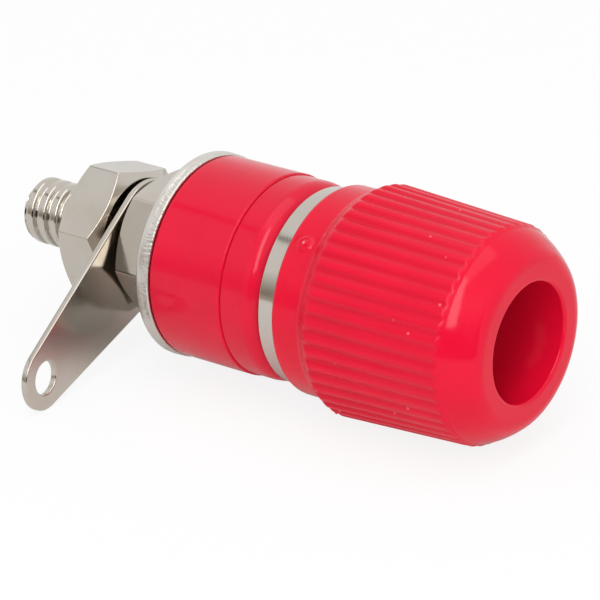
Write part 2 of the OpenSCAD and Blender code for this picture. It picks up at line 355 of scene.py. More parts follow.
def ripple(angle, station, waves, seed):
    """Random field about 1 high: the sum of sine waves with random lobes, pitches and phases."""
    random = np.random.default_rng(seed)
    lobes = random.integers(-RIPPLE_LOBES, RIPPLE_LOBES, waves)[:, None, None]
    pitch = random.uniform(-RIPPLE_PITCH, RIPPLE_PITCH, waves)[:, None, None] / MM
    phase = random.uniform(0, 2 * np.pi, waves)[:, None, None]
    return np.sin(lobes * angle + pitch * station + phase).sum(axis=0) / math.sqrt(waves)


def new_mesh(name, points, faces, sharp=35):
    """Mesh from points and faces, with doubles merged, the faces outwards and edges over an angle sharp."""
    mesh = bpy.data.meshes.new(name)
    mesh.from_pydata(points.reshape(-1, 3).tolist(), [], faces)
    work = bmesh.new()
    work.from_mesh(mesh)
    bmesh.ops.remove_doubles(work, verts=work.verts, dist=0.5 * MICRON)
    bmesh.ops.recalc_face_normals(work, faces=work.faces)
    work.to_mesh(mesh)
    work.free()
    mesh.shade_smooth()
    mesh.set_sharp_from_angle(angle=math.radians(sharp))
    return mesh


def closed_mesh(name, points):
    """Mesh of a grid of points that closes both ways."""
    return new_mesh(name, points, grid_faces(*points.shape[:2]).tolist())


def add_object(name, data):
    """Object at the origin, linked into the scene."""
    made = bpy.data.objects.new(name, data)
    bpy.context.scene.collection.objects.link(made)
    return made


def new_piece(name, mesh, node, material):
    """Object at the origin that stands for a CAD node and rides on that node's body."""
    if not mesh.polygons:
        raise RuntimeError(f"{name} has no faces")
    piece = add_object(name, mesh)
    mesh.materials.clear()
    mesh.materials.append(material)
    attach(piece, frame["nodes"][node]["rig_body"])
    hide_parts(node)
    return piece


def add_node(tree, kind, inputs=None, **settings):
    """Shader node with its settings, and with each input set to a value or linked to a socket."""
    made = tree.nodes.new(kind)
    for key, value in settings.items():
        setattr(made, key, value)
    for key, value in (inputs or {}).items():
        if isinstance(value, bpy.types.NodeSocket):
            tree.links.new(value, made.inputs[key])
        else:
            made.inputs[key].default_value = value
    return made


def new_material(name):
    """Material with an empty node tree; returns the material and its tree."""
    material = bpy.data.materials.new(name)
    material.use_nodes = True
    material.node_tree.nodes.clear()
    return material, material.node_tree


def noise(tree, place, scale, detail=2.0, roughness=0.5):
    """Noise pattern on the given coordinates; scale counts features per metre."""
    values = {"Vector": place, "Scale": scale, "Detail": detail, "Roughness": roughness}
    return add_node(tree, "ShaderNodeTexNoise", values).outputs["Fac"]


def spread(tree, value, low, high, from_low=0.3, from_high=0.7):
    """A pattern value remapped so that its usual range runs from low to high."""
    values = {"Value": value, "From Min": from_low, "From Max": from_high, "To Min": low, "To Max": high}
    return add_node(tree, "ShaderNodeMapRange", values).outputs["Result"]


def show(tree, shader):
    """Makes a shader the surface of its material."""
    add_node(tree, "ShaderNodeOutputMaterial", {"Surface": shader})


def tinted(tree, amount, first, second):
    """Colour mixed by an amount from two, each a value or a socket."""
    tones = [tone if isinstance(tone, bpy.types.NodeSocket) else (*tone, 1.0) for tone in (first, second)]
    # A colour mix has float, vector and colour sockets of the same names, and the colour ones come last
    mix = add_node(tree, "ShaderNodeMix", {"Factor": amount, 6: tones[0], 7: tones[1]}, data_type="RGBA")
    return mix.outputs[2]


def combined(tree, operation, first, second):
    """Result of a math node on two values or sockets."""
    return add_node(tree, "ShaderNodeMath", {0: first, 1: second}, operation=operation).outputs["Value"]


def mixed(tree, share, first, second):
    """Shader mixed from two: all of the first at share 0, and all of the second at share 1."""
    return add_node(tree, "ShaderNodeMixShader", {"Fac": share, 1: first, 2: second}).outputs["Shader"]


def bumped(tree, height, strength, depth, normal=None):
    """Normal tilted by a height pattern, on top of another normal where one is given."""
    values = {"Height": height, "Strength": strength, "Distance": depth}
    if normal is not None:
        values["Normal"] = normal
    return add_node(tree, "ShaderNodeBump", values).outputs["Normal"]


def about_axis(tree, place):
    """The separate coordinates of a place, and its distance from the post's axis."""
    parts = add_node(tree, "ShaderNodeSeparateXYZ", {"Vector": place}).outputs
    flat = add_node(tree, "ShaderNodeCombineXYZ", {"X": parts["X"], "Z": parts["Z"]}).outputs["Vector"]
    return parts, add_node(tree, "ShaderNodeVectorMath", {0: flat}, operation="LENGTH").outputs["Value"]


# Patterns in the plastic, in features for each metre
CLOUD_SCALE, GRAIN_SCALE, FLECK_SCALE = 350, 7000, 900
# Share of the colour that is left in the deeper clouds
CLOUD_SHADE = 0.93
PLASTIC_IOR = 1.5
PEEL_STRENGTH = 0.1
# How far the roughness strays below and above its setting
PLASTIC_STRAY, GRIP_STRAY, PLATE_STRAY = (-0.02, 0.03), (-0.03, 0.04), (-0.03, 0.05)


def moulded_plastic(name, red, roughness, shine, peel_depth, dress=None):
    """Moulded thermoplastic: slow cloudy tint, faint grain in the gloss and a fine orange peel.

    A dress function can change the colour and the two ends of the roughness before they are used.
    """
    material, tree = new_material(name)
    place = add_node(tree, "ShaderNodeTexCoord").outputs["Object"]
    cloud = noise(tree, place, CLOUD_SCALE, detail=3)
    grain = noise(tree, place, GRAIN_SCALE, detail=3, roughness=0.6)
    deep = tuple(channel * CLOUD_SHADE for channel in red)
    base = tinted(tree, spread(tree, cloud, 0.0, 1.0), red, deep)
    low, high = (roughness + stray for stray in PLASTIC_STRAY)
    if dress:
        base, low, high = dress(tree, place, base, low, high)
    values = {
        "Base Color": base,
        "Roughness": spread(tree, grain, low, high),
        "Normal": bumped(tree, grain, PEEL_STRENGTH, peel_depth),
        "IOR": PLASTIC_IOR,
        "Specular IOR Level": shine,
    }
    show(tree, add_node(tree, "ShaderNodeBsdfPrincipled", values).outputs["BSDF"])
    return material


# Patterns in the plating, in features for each metre
PATCH_SCALE, SPECK_SCALE, LATHE_SCALE = 260, 5200, 16000
LATHE_STRENGTH, SPECK_STRENGTH = 0.3, 0.15
# Share of each channel that is left where the plating is warm, how warm a patch gets, and over which values
WARM_TONE, WARM_SHARE, WARM_RANGE = (0.90, 0.83, 0.74), 0.6, (0.42, 0.75)


def plated_metal(name, tone, roughness, line_depth):
    """Nickel plate: warm patches, uneven gloss, and the fine lines that the lathe left round the axis.

    The lines are a one-way noise over Y + radius, so they run round the axis on walls and faces alike.
    """
    material, tree = new_material(name)
    place = add_node(tree, "ShaderNodeTexCoord").outputs["Object"]
    parts, radius = about_axis(tree, place)
    track = combined(tree, "ADD", parts["Y"], radius)
    lines = add_node(tree, "ShaderNodeTexNoise", {"W": track, "Scale": LATHE_SCALE, "Detail": 4.0},
                     noise_dimensions="1D").outputs["Fac"]
    patch = noise(tree, place, PATCH_SCALE, detail=4, roughness=0.6)
    speck = noise(tree, place, SPECK_SCALE, detail=3)
    warm = tuple(channel * left for channel, left in zip(tone, WARM_TONE))
    low, high = (roughness + stray for stray in PLATE_STRAY)
    turned = bumped(tree, lines, LATHE_STRENGTH, line_depth)
    values = {
        "Base Color": tinted(tree, spread(tree, patch, 0.0, WARM_SHARE, *WARM_RANGE), tone, warm),
        "Metallic": 1.0,
        "Roughness": spread(tree, patch, low, high),
        "Normal": bumped(tree, speck, SPECK_STRENGTH, line_depth, turned),
    }
    show(tree, add_node(tree, "ShaderNodeBsdfPrincipled", values).outputs["BSDF"])
    return material


# Depth of the orange peel on the cap and on the body, and of the lines on turned and on punched plate
CAP_PEEL, BODY_PEEL, TURNED_LINES, PUNCHED_LINES = 8 * MICRON, 4 * MICRON, 4 * MICRON, 20 * MICRON
# Black that the painted shade in the grip's grooves mixes into the red
PAINTED_SHADE_BLACK = (0.0, 0.0, 0.0)
# Pale red of the painted glints on the grip's flecks and on the gate's nub
PAINTED_GLINT_RED = (0.90, 0.36, 0.40)
# How strong the painted glints on the flecks and on the gate's nub are, and the distances from their
# middles over which that fades: in cells of the fleck pattern, and in metres
FLECK_GLINT_SHARE, FLECK_FADE = 0.35, (0.04, 0.10)
NUB_GLINT_SHARE, NUB_FADE = 0.6, (0.08 * MM, 0.16 * MM)
# Half the length of the ramps at the ends of the grip
GRIP_RAMP = 0.2 * MM
# Share of the ribs' rise that lies behind the start of the painted shade in the grooves
PAINTED_SHADE_START = 0.85


def cap_plastic(finish, cap):
    """Red of the cap: glossy on its band and nose, and matt over the ribs.

    On the grip the grooves get painted shade: the red is mixed towards black along the cosine that shapes
    them, and fades towards the nose. Pale flecks over the grip are painted glints, and the nub at the gate
    gets a painted highlight as pale.
    """
    rear, front = reach("cap")
    grip_rear, grip_front = rear + cap.rib_start, front - cap.nose_length + 0.5 * cap.rib_end_run
    painted_shade_rear = grip_rear + PAINTED_SHADE_START * cap.rib_rise
    gate = placed(rear + cap.gate_offset, cap.band_radius + cap.gate_height, cap.gate_turn).tolist()
    wall = cap.band_radius - GRIP_RAMP

    def dress(tree, place, base, low, high):
        """The grip's share is the product of two ramps along the axis and one outwards to the wall."""
        parts, radius = about_axis(tree, place)

        def ramp_at(station, behind, ahead):
            """Value that goes over from one to the other at a station."""
            return spread(tree, parts["Y"], behind, ahead, -station + GRIP_RAMP, -station - GRIP_RAMP)

        def product(value, *others):
            """Product of values or sockets."""
            for other in others:
                value = combined(tree, "MULTIPLY", value, other)
            return value

        outside = spread(tree, radius, 0.0, 1.0, wall - GRIP_RAMP, wall)
        share = product(ramp_at(grip_rear, 0.0, 1.0), ramp_at(grip_front, 1.0, 0.0), outside)
        angle = combined(tree, "ARCTAN2", parts["Z"], parts["X"])
        angle = combined(tree, "SUBTRACT", angle, cap.rib_turn)
        wave = combined(tree, "COSINE", product(angle, cap.ribs), 0.0)
        fade = spread(tree, parts["Y"], finish.painted_groove_shade, finish.painted_groove_shade * (1 - cap.groove_fade),
                      -grip_rear - cap.rib_rise, -grip_front)
        opens = ramp_at(painted_shade_rear, 0.0, 1.0)
        # Painted shade: the base red darkens towards black along the groove cosine, and fades towards the nose
        shade = product(spread(tree, wave, 0.0, 1.0, -1.0, 1.0), fade, opens, share)
        base = tinted(tree, shade, base, PAINTED_SHADE_BLACK)
        # Painted glints: pale flecks over the grip, and a pale painted highlight on the gate's nub
        cells = add_node(tree, "ShaderNodeTexVoronoi", {"Vector": place, "Scale": FLECK_SCALE})
        fleck = product(share, spread(tree, cells.outputs["Distance"], FLECK_GLINT_SHARE, 0.0, *FLECK_FADE))
        from_gate = add_node(tree, "ShaderNodeVectorMath", {0: place, 1: gate}, operation="DISTANCE")
        nub = spread(tree, from_gate.outputs["Value"], NUB_GLINT_SHARE, 0.0, *NUB_FADE)
        base = tinted(tree, combined(tree, "MAXIMUM", fleck, nub), base, PAINTED_GLINT_RED)
        low, high = (spread(tree, share, end, finish.grip_roughness + stray, 0.0, 1.0)
                     for end, stray in zip((low, high), GRIP_STRAY))
        return base, low, high

    return moulded_plastic("Cap plastic", finish.cap_red, finish.cap_roughness, finish.plastic_shine,
                           CAP_PEEL, dress)


def body_plastic(finish):
    """Satin red of the insulators."""
    return moulded_plastic("Body plastic", finish.body_red, finish.body_roughness, finish.plastic_shine,
                           BODY_PEEL)


def nickel_plate(finish):
    """Bright nickel of the post, the bush and the nuts, made once and shared."""
    name = "Nickel plate"
    made = bpy.data.materials.get(name)
    return made or plated_metal(name, finish.nickel, finish.nickel_roughness, TURNED_LINES)


def tag_plate(finish):
    """Nickel of the tag, dulled by the stamping."""
    return plated_metal("Tag plate", finish.nickel, finish.tag_roughness, TURNED_LINES)


def washer_plate(finish):
    """Duller plating of the punched washer."""
    return plated_metal("Washer plate", finish.washer_steel, finish.washer_roughness, PUNCHED_LINES)


# Spacing of the rows over the cap: at large, on the ribs' rise, on the band and on the nose
CAP_ROWS, RISE_ROWS, BAND_ROWS, NOSE_ROWS = 0.6 * MM, 0.16 * MM, 0.06 * MM, 0.12 * MM


def cap_outline(cap, cap_length, rib_radius, pocket_radius, pocket_length):
    """Half section of the cap over its ribs, as (station from the rear rim, radius).

    The nose's cone meets the front face's plane at face radius + nose round * tan((90 - slope) / 2), and the
    cone is followed back from there to the foot of the ribs.
    """
    rib_full = cap.rib_start + cap.rib_rise
    rib_end = cap_length - cap.nose_length
    nose_root = rib_end + cap.rib_end_run
    face_radius = cap.mouth_radius + cap.face_width
    edge_radius = face_radius + cap.nose_round * math.tan((math.pi / 2 - cap.nose_slope) / 2)
    root_radius = edge_radius + (cap_length - nose_root) * math.tan(cap.nose_slope)
    corners = [
        (0, pocket_radius), (0, cap.band_radius), (cap.rib_start, cap.band_radius),
        (rib_full, rib_radius), (rib_end, cap.rib_front_radius), (nose_root, root_radius),
        (cap_length, edge_radius), (cap_length, cap.mouth_radius),
        (pocket_length, cap.mouth_radius), (pocket_length, pocket_radius),
    ]
    rounds = [PLAIN_EDGE, cap.rear_round, cap.rise_round, cap.rise_round, EASED_EDGE, PLAIN_EDGE,
              cap.nose_round, cap.mouth_round, FINE_EDGE, FINE_EDGE]
    outline = filled(rounded(corners, rounds), CAP_ROWS)
    outline = filled(outline, RISE_ROWS,
                     lambda station, radius: (radius > face_radius) & (station < rib_full))
    outline = filled(outline, BAND_ROWS,
                     lambda station, radius: (radius > face_radius) & (station < cap.rib_start))
    return filled(outline, NOSE_ROWS,
                  lambda station, radius: (radius > face_radius) & (station > rib_end))


def bump_at(station, radius, angle, place, direction, width):
    """Round bumps 1 high: exp(-(2 * distance / width)^2) about each place and direction, added up."""
    along = station[None] - place[:, None, None]
    swing = swung(angle[None], direction[:, None, None])
    squared = along ** 2 + (swing * radius[None]) ** 2
    return np.exp(-squared * (2 / width) ** 2).sum(axis=0)


def gate_relief(cap, station, radius, angle):
    """Gate mark: a round nub with a low witness ring about it.

    With d the distance from the mark's middle, the nub is height * exp(-(2 d / nub width)^2) and the ring is
    a third of the height times exp(-((d - ring radius) / (nub width / 3))^2).
    """
    distance = np.hypot(station - cap.gate_offset, swung(angle, cap.gate_turn) * radius)
    nub = np.exp(-(2 * distance / cap.gate_nub) ** 2)
    ring = np.exp(-((distance - cap.gate_ring) / (cap.gate_nub / 3)) ** 2)
    return cap.gate_height * (nub + ring / 3)


# Columns of the cap's grid for each rib
RIB_COLUMNS = 10
# Nibs of flash at the rear ends of the ribs: how many, how wide, and the seed of their places
NIBS, NIB_WIDTH, NIB_SEED = 26, 0.16 * MM, 11
# How far a nib strays from the middle of its rib's top, in ribs, and from the end of the rise, in rises
NIB_SWAY, NIB_BEHIND, NIB_AHEAD = 0.25, 0.5, 0.3


def cap_mesh(cap):
    """The cap: its section carried round the axis, with grooves, a gate mark and flash.

    With u from 0 at the nose's root to 1 at the front face, the nose is raised by crown * 4 u (1 - u). Over
    the ribs, the radius is the smooth minimum of the section and of the rib line lowered by
    groove depth * ((1 + cos(ribs * (angle - rib turn))) / 2) ^ groove power. The depth fades towards the
    nose. The gate mark and the nibs of flash are round bumps on it.
    """
    rear, front = reach("cap")
    bush_rear, bush_front = reach("cap_bush")
    cap_length = front - rear
    rib_radius = half_width("cap")
    rib_full = cap.rib_start + cap.rib_rise
    rib_end = cap_length - cap.nose_length
    outline = cap_outline(cap, cap_length, rib_radius, half_width("cap_bush") + cap.pocket_play,
                          bush_front - bush_rear + cap.pocket_play)
    angle = around(RIB_COLUMNS * cap.ribs)
    station, radius = outline[:, :1], outline[:, 1:]
    nose_root = rib_end + cap.rib_end_run
    slope_share = np.clip((station - nose_root) / (cap_length - nose_root), 0, 1)
    on_nose = step_up(radius, cap.mouth_radius, cap.mouth_radius + cap.face_width)
    radius = radius + cap.nose_crown * on_nose * 4 * slope_share * (1 - slope_share)
    taper = (cap.rib_front_radius - rib_radius) / (rib_end - rib_full)
    rib_line = rib_radius + taper * (station - rib_full)
    depth = cap.groove_depth * (1 - cap.groove_fade * step_up(station, rib_full, rib_end))
    groove = depth * ((1 + np.cos(cap.ribs * (angle - cap.rib_turn))) / 2) ** cap.groove_power
    radius = lesser(radius, rib_line - groove, cap.rib_softness)
    outside = step_up(radius, cap.mouth_radius + cap.face_width, cap.band_radius)
    gate = gate_relief(cap, station, radius, angle)
    random = np.random.default_rng(NIB_SEED)
    nib_rib = random.integers(0, cap.ribs, NIBS) + 0.5 + random.uniform(-NIB_SWAY, NIB_SWAY, NIBS)
    nib_turn = cap.rib_turn + nib_rib * 2 * np.pi / cap.ribs
    nib_station = random.uniform(rib_full - NIB_BEHIND * cap.rib_rise,
                                 rib_full + NIB_AHEAD * cap.rib_rise, NIBS)
    nibs = bump_at(station, radius, angle, nib_station, nib_turn, NIB_WIDTH)
    radius = radius + outside * (gate + cap.flash_height * np.clip(nibs, 0, 1))
    return closed_mesh("cap_moulding", placed(rear + station, radius, angle))


# Where a thread's flank begins and ends, as shares of the way from the root to the middle of the crest
THREAD_ROOT, THREAD_CREST = 0.02, 0.62


def thread_drop(station, angle, pitch, depth):
    """Depth of a right-hand thread below its crest.

    The phase is station / pitch - angle / turn. The distance from the root, as a triangle wave of the phase,
    is eased by a smooth step, which leaves a broad rounded crest and a narrow root.
    """
    phase = np.mod(station / pitch - angle / (2 * np.pi), 1)
    rise = abs(2 * phase - 1)
    return depth * (1 - step_up(rise, THREAD_ROOT, THREAD_CREST))


POST_COLUMNS, CUTTER_COLUMNS = 144, 64
# Rows for each pitch on the stud, on the stem and in the plug bore
STUD_ROWS, STEM_ROWS, BORE_ROWS = 20, 12, 6
# Rounds of the post's small edges, and the radius within which its ends are drawn to a point
POST_EDGE, POST_TIP = 0.04 * MM, 0.1 * MM
# Edges of the post that turn by more than these degrees are sharp, so its threads are smooth
POST_SHARP = 60


def post_mesh(post):
    """The turned post: a section from the stud's end round to the bottom of the plug bore, on its own axis.

    Each threaded stretch is lowered by its thread's depth, faded in at the ends, and kept under the chamfers
    by a minimum with the plain section. Both ends of the section close in one point on the axis.
    """
    stud_end, stem_front = reach("socket_post")
    collar_rear = reach("front_insulator")[1]
    collar_front = collar_rear + post.collar_thickness
    collar_radius = half_width("socket_post")
    plug_radius = MOUNTS["plug_socket"]["dims"]["r_mm"] * MM
    floor = collar_rear + post.plug_floor
    drill_tip = floor - plug_radius / math.tan(post.drill_angle / 2)
    thread_start = reach("rear_insulator")[0]
    corners = [
        (stud_end, 0), (stud_end, post.stud_radius - post.stud_chamfer),
        (stud_end + post.stud_chamfer, post.stud_radius), (collar_rear, post.stud_radius),
        (collar_rear, collar_radius), (collar_front, collar_radius), (collar_front, post.stem_radius),
        (stem_front - post.stem_chamfer, post.stem_radius),
        (stem_front, post.stem_radius - post.stem_chamfer), (stem_front, plug_radius + post.plug_chamfer),
        (stem_front - post.plug_chamfer, plug_radius), (floor, plug_radius), (drill_tip, 0),
    ]
    rounds = [post.collar_round if radius == collar_radius else POST_EDGE for _, radius in corners]
    stud_core, bore_wall = 0.5 * post.stud_radius, 0.9 * plug_radius
    outline = filled(rounded(corners, rounds), post.stud_pitch / STUD_ROWS,
                     lambda station, radius: (station < thread_start) & (radius > stud_core))
    for rows, least in ((STEM_ROWS, plug_radius + post.plug_chamfer), (BORE_ROWS, bore_wall)):
        outline = filled(outline, post.stem_pitch / rows,
                         lambda station, radius, least=least: (station > collar_front) & (radius > least))
    outline = outline[outline[:, 1] > POST_TIP]
    angle = around(POST_COLUMNS)
    station, radius = outline[:, :1], outline[:, 1:]
    stud = step_up(thread_start - station, 0, post.stud_pitch) * (radius > stud_core)
    stud_drop = thread_drop(station, angle, post.stud_pitch, post.stud_thread_depth)
    stem = step_up(station, collar_front, collar_front + post.stem_pitch)
    stem = stem * (radius > plug_radius + 0.5 * post.plug_chamfer) * (radius < post.stem_radius + POST_EDGE)
    stem_drop = thread_drop(station, angle, post.stem_pitch, post.stem_thread_depth)
    radius = np.minimum(radius, np.where(stud > 0, post.stud_radius - stud * stud_drop, radius))
    radius = np.minimum(radius, np.where(stem > 0, post.stem_radius - stem * stem_drop, radius))
    ends = np.array([[0, -stud_end, 0], [0, -drill_tip, 0]])
    return capped_mesh("turned_post", placed(station, radius, angle), ends)


def capped_mesh(name, points, ends):
    """Mesh of an open grid of rings, with each end ring drawn to a point on the axis."""
    rows, columns = points.shape[:2]
    first = np.arange(columns)
    last = first + (rows - 1) * columns
    tip = rows * columns
    first_fan = np.stack([np.roll(first, -1), first, np.full(columns, tip)], axis=-1)
    last_fan = np.stack([last, np.roll(last, -1), np.full(columns, tip + 1)], axis=-1)
    faces = grid_faces(rows, columns, rows_close=False).tolist() + first_fan.tolist() + last_fan.tolist()
    return new_mesh(name, np.vstack([points.reshape(-1, 3), ends]), faces, sharp=POST_SHARP)


def hole_cutter(radius, half_length, centre):
    """Round bar along Z that cuts the wire hole, with its ends beyond the stem."""
    angle = around(CUTTER_COLUMNS)
    x, y, z = centre
    low, high = z - half_length, z + half_length
    points = np.stack(np.broadcast_arrays(x + radius * np.cos(angle), y + radius * np.sin(angle),
                                          np.array([[low], [high]])), axis=-1)
    return capped_mesh("wire_hole_cutter", points, np.array([[x, y, low], [x, y, high]]))


# Edges shorter than this are slivers that a cut leaves
SLIVER = 2 * MICRON


def cut_through(piece, cutter_mesh):
    """Takes the cutter's volume out of the piece and keeps the result, without slivers, as its mesh."""
    cutter = add_object(cutter_mesh.name, cutter_mesh)
    cut = piece.modifiers.new("Wire hole", "BOOLEAN")
    cut.operation = "DIFFERENCE"
    cut.solver = "EXACT"
    cut.object = cutter
    graph = bpy.context.evaluated_depsgraph_get()
    finished = bpy.data.meshes.new_from_object(piece.evaluated_get(graph))
    work = bmesh.new()
    work.from_mesh(finished)
    bmesh.ops.remove_doubles(work, verts=work.verts, dist=SLIVER)
    bmesh.ops.dissolve_degenerate(work, edges=work.edges, dist=SLIVER)
    bmesh.ops.triangulate(work, faces=[face for face in work.faces if len(face.verts) > 4])
    work.to_mesh(finished)
    work.free()
    piece.modifiers.clear()
    old = piece.data
    piece.data = finished
    bpy.data.meshes.remove(old)
    bpy.data.objects.remove(cutter)
    bpy.data.meshes.remove(cutter_mesh)
    finished.set_sharp_from_angle(angle=math.radians(POST_SHARP))


RING_COLUMNS, RING_ROWS = 240, 0.5 * MM


def ring_mesh(name, corners, rounds):
    """A plain turned ring: its rounded section carried round the axis."""
    outline = filled(rounded(corners, rounds), RING_ROWS)
    return closed_mesh(name, placed(outline[:, :1], outline[:, 1:], around(RING_COLUMNS)))


def front_insulator_mesh(body):
    """Flange with its rounded shoulder, and the spigot that centres it in the panel."""
    rear, front = reach("front_insulator")
    radius = half_width("front_insulator")
    spigot = MOUNTS["panel_seat"]["dims"]["r_mm"] * MM
    corners = [(front, body.hole_radius), (front, radius), (0, radius), (0, spigot),
               (rear, spigot), (rear, body.hole_radius)]
    rounds = [PLAIN_EDGE, body.shoulder_round, body.seam_round, PLAIN_EDGE, EASED_EDGE, PLAIN_EDGE]
    return ring_mesh("front_moulding", corners, rounds)


def rear_insulator_mesh(body):
    """Rear cup: its recess takes the front insulator's spigot."""
    rear, front = reach("rear_insulator")
    radius = half_width("rear_insulator")
    recess = MOUNTS["panel_seat"]["dims"]["r_mm"] * MM + body.spigot_play
    recess_floor = reach("front_insulator")[0] - body.spigot_play
    corners = [(front, recess), (front, radius), (rear, radius), (rear, body.hole_radius),
               (recess_floor, body.hole_radius), (recess_floor, recess)]
    rounds = [PLAIN_EDGE, body.seam_round, body.rear_round, PLAIN_EDGE, FINE_EDGE, PLAIN_EDGE]
    return ring_mesh("rear_moulding", corners, rounds)


# Columns of the washer, the spacing of its rows at large and on its rim, and the round of its hole's edges
WASHER_COLUMNS, WASHER_ROWS, RIM_ROWS, WASHER_EDGE = 900, 0.3 * MM, 0.06 * MM, 0.06 * MM
# The torn rim: its waves and their seed, where it begins and is full as shares of the thickness, and how far in
TEAR_WAVES, TEAR_SEED = 40, 3
TEAR_START, TEAR_FULL = 0.35, 0.65
TEAR_INNER, TEAR_OUTER = 0.5 * MM, 0.05 * MM
# Mean depth of the tear, how much of it varies, and the limits of the waves, all as shares
TEAR_MEAN, TEAR_SWING, TEAR_LIMITS = 0.6, 0.4, (-1.5, 2)


def washer_mesh(hardware):
    """Punched washer: a rolled rear edge, and a rim that is torn towards the front.

    The rim's radius falls by a random ripple, faded in over the front half of the thickness.
    """
    rear, front = reach("flat_washer")
    rim = half_width("flat_washer")
    thickness = front - rear
    corners = [(rear, hardware.washer_hole), (rear, rim), (front, rim), (front, hardware.washer_hole)]
    rounds = [WASHER_EDGE, hardware.washer_round, PLAIN_EDGE, WASHER_EDGE]
    outline = filled(rounded(corners, rounds), WASHER_ROWS)
    outline = filled(outline, RIM_ROWS, lambda station, radius: radius > rim - hardware.washer_round)
    angle = around(WASHER_COLUMNS)
    station, radius = outline[:, :1], outline[:, 1:]
    torn = step_up(station, rear + TEAR_START * thickness, rear + TEAR_FULL * thickness)
    torn = torn * step_up(radius, rim - TEAR_INNER, rim - TEAR_OUTER)
    field = ripple(angle, station, TEAR_WAVES, TEAR_SEED)
    radius = radius - hardware.washer_tear * torn * (TEAR_MEAN + TEAR_SWING * np.clip(field, *TEAR_LIMITS))
    return closed_mesh("punched_washer", placed(station, radius, angle))


# Columns on each of a nut's six sides
NUT_COLUMNS = 36
# Rounds of a nut's section: at the countersink, the face, the chamfer's foot, and the same back to the bore
NUT_ROUNDS = np.array([0.04, 0.2, 0.08, 0.08, 0.2, 0.04, 0.03, 0.03]) * MM


def nut_mesh(name, node, hardware, nut_turn):
    """Hexagon nut as a ring of half sections, one for each angle about the axis.

    On a flat, the radius is apothem / cos(angle from the flat's middle). Round a corner it is that of a
    circle of the corner radius, whose centre lies (apothem - corner radius) / cos(30) from the axis. Each
    section steps from the bearing face down a chamfer cone to that radius, and back up on the other side.
    The angles crowd towards the corners as 30 degrees * (1.5 t - 0.5 t^3).
    """
    rear, front = reach(node)
    apothem = hardware.nut_flats / 2
    sixth = math.pi / 3
    share = np.linspace(-1, 1, NUT_COLUMNS, endpoint=False)
    from_middle = np.tile(sixth / 2 * (1.5 * share - 0.5 * share ** 3), 6)
    middles = np.repeat(nut_turn + sixth * (np.arange(6) + 0.5), share.size)
    corner_centre = (apothem - hardware.nut_corner) / math.cos(sixth / 2)
    from_corner = sixth / 2 - abs(from_middle)
    reach_in = np.maximum(hardware.nut_corner ** 2 - (corner_centre * np.sin(from_corner)) ** 2, 0)
    corner_radius = corner_centre * np.cos(from_corner) + np.sqrt(reach_in)
    flat_limit = math.atan((apothem - hardware.nut_corner) * math.tan(sixth / 2) / apothem)
    outer = np.where(abs(from_middle) <= flat_limit, apothem / np.cos(from_middle), corner_radius)
    drop = (outer - hardware.nut_face) * math.tan(hardware.nut_slope)
    sunk = hardware.nut_bore + hardware.nut_countersink
    section = [
        (front, sunk), (front, hardware.nut_face), (front - drop, outer),
        (rear + drop, outer), (rear, hardware.nut_face), (rear, sunk),
        (rear + hardware.nut_countersink, hardware.nut_bore),
        (front - hardware.nut_countersink, hardware.nut_bore),
    ]
    corners = np.stack([np.stack(np.broadcast_arrays(station, radius, outer)[:2], axis=-1)
                        for station, radius in section], axis=-2)
    sections = np.swapaxes(rounded(corners, NUT_ROUNDS, steps=5), 0, 1)
    return closed_mesh(name, placed(sections[..., 0], sections[..., 1], (middles + from_middle)[None, :]))


# Points along a straight line of the tag, round its ring and round its end
LINE_POINTS, RING_POINTS, END_POINTS = 12, 72, 48
MIRROR = np.array([1, -1])


def across_line(start, end):
    """Points from start towards end, without the end."""
    return start + (end - start) * np.linspace(0, 1, LINE_POINTS, endpoint=False)[:, None]


def tag_loop(ring, end, reach_out, inset):
    """Outline of the tag shrunk by an inset, as the two halves that meet on the line across its middle.

    The outline is two circles joined by their common tangents. The tangent points lie at the angle
    acos((ring - end) / reach) on both circles, whatever the inset.
    """
    lean = math.acos((ring - end) / reach_out)
    touch = np.array([math.cos(lean), math.sin(lean)])
    ring, end = ring - inset, end - inset
    eye = np.array([reach_out, 0])
    ring_touch, end_touch = ring * touch, eye + end * touch
    middle = (ring_touch + end_touch) / 2
    ring_arc = np.linspace(lean, 2 * np.pi - lean, RING_POINTS, endpoint=False)
    end_arc = np.linspace(-lean, lean, END_POINTS, endpoint=False)
    ring_half = np.vstack([
        across_line(middle, ring_touch),
        ring * np.stack([np.cos(ring_arc), np.sin(ring_arc)], axis=-1),
        across_line(ring_touch * MIRROR, middle * MIRROR),
    ])
    end_half = np.vstack([
        across_line(middle * MIRROR, end_touch * MIRROR),
        eye + end * np.stack([np.cos(end_arc), np.sin(end_arc)], axis=-1),
        across_line(end_touch, middle),
    ])
    return ring_half, end_half, middle


def circle_towards(loop, centre, radius):
    """Circle about a centre with one point in the direction of each point of the loop."""
    return centre + radius * unit(loop - centre)


# Steps of the arc on each stamped edge, and where a face's rings lie between the outline and the hole
EDGE_STEPS, FACE_RINGS = 6, (0.0, 0.02, 0.35, 0.7, 0.97, 1.0)


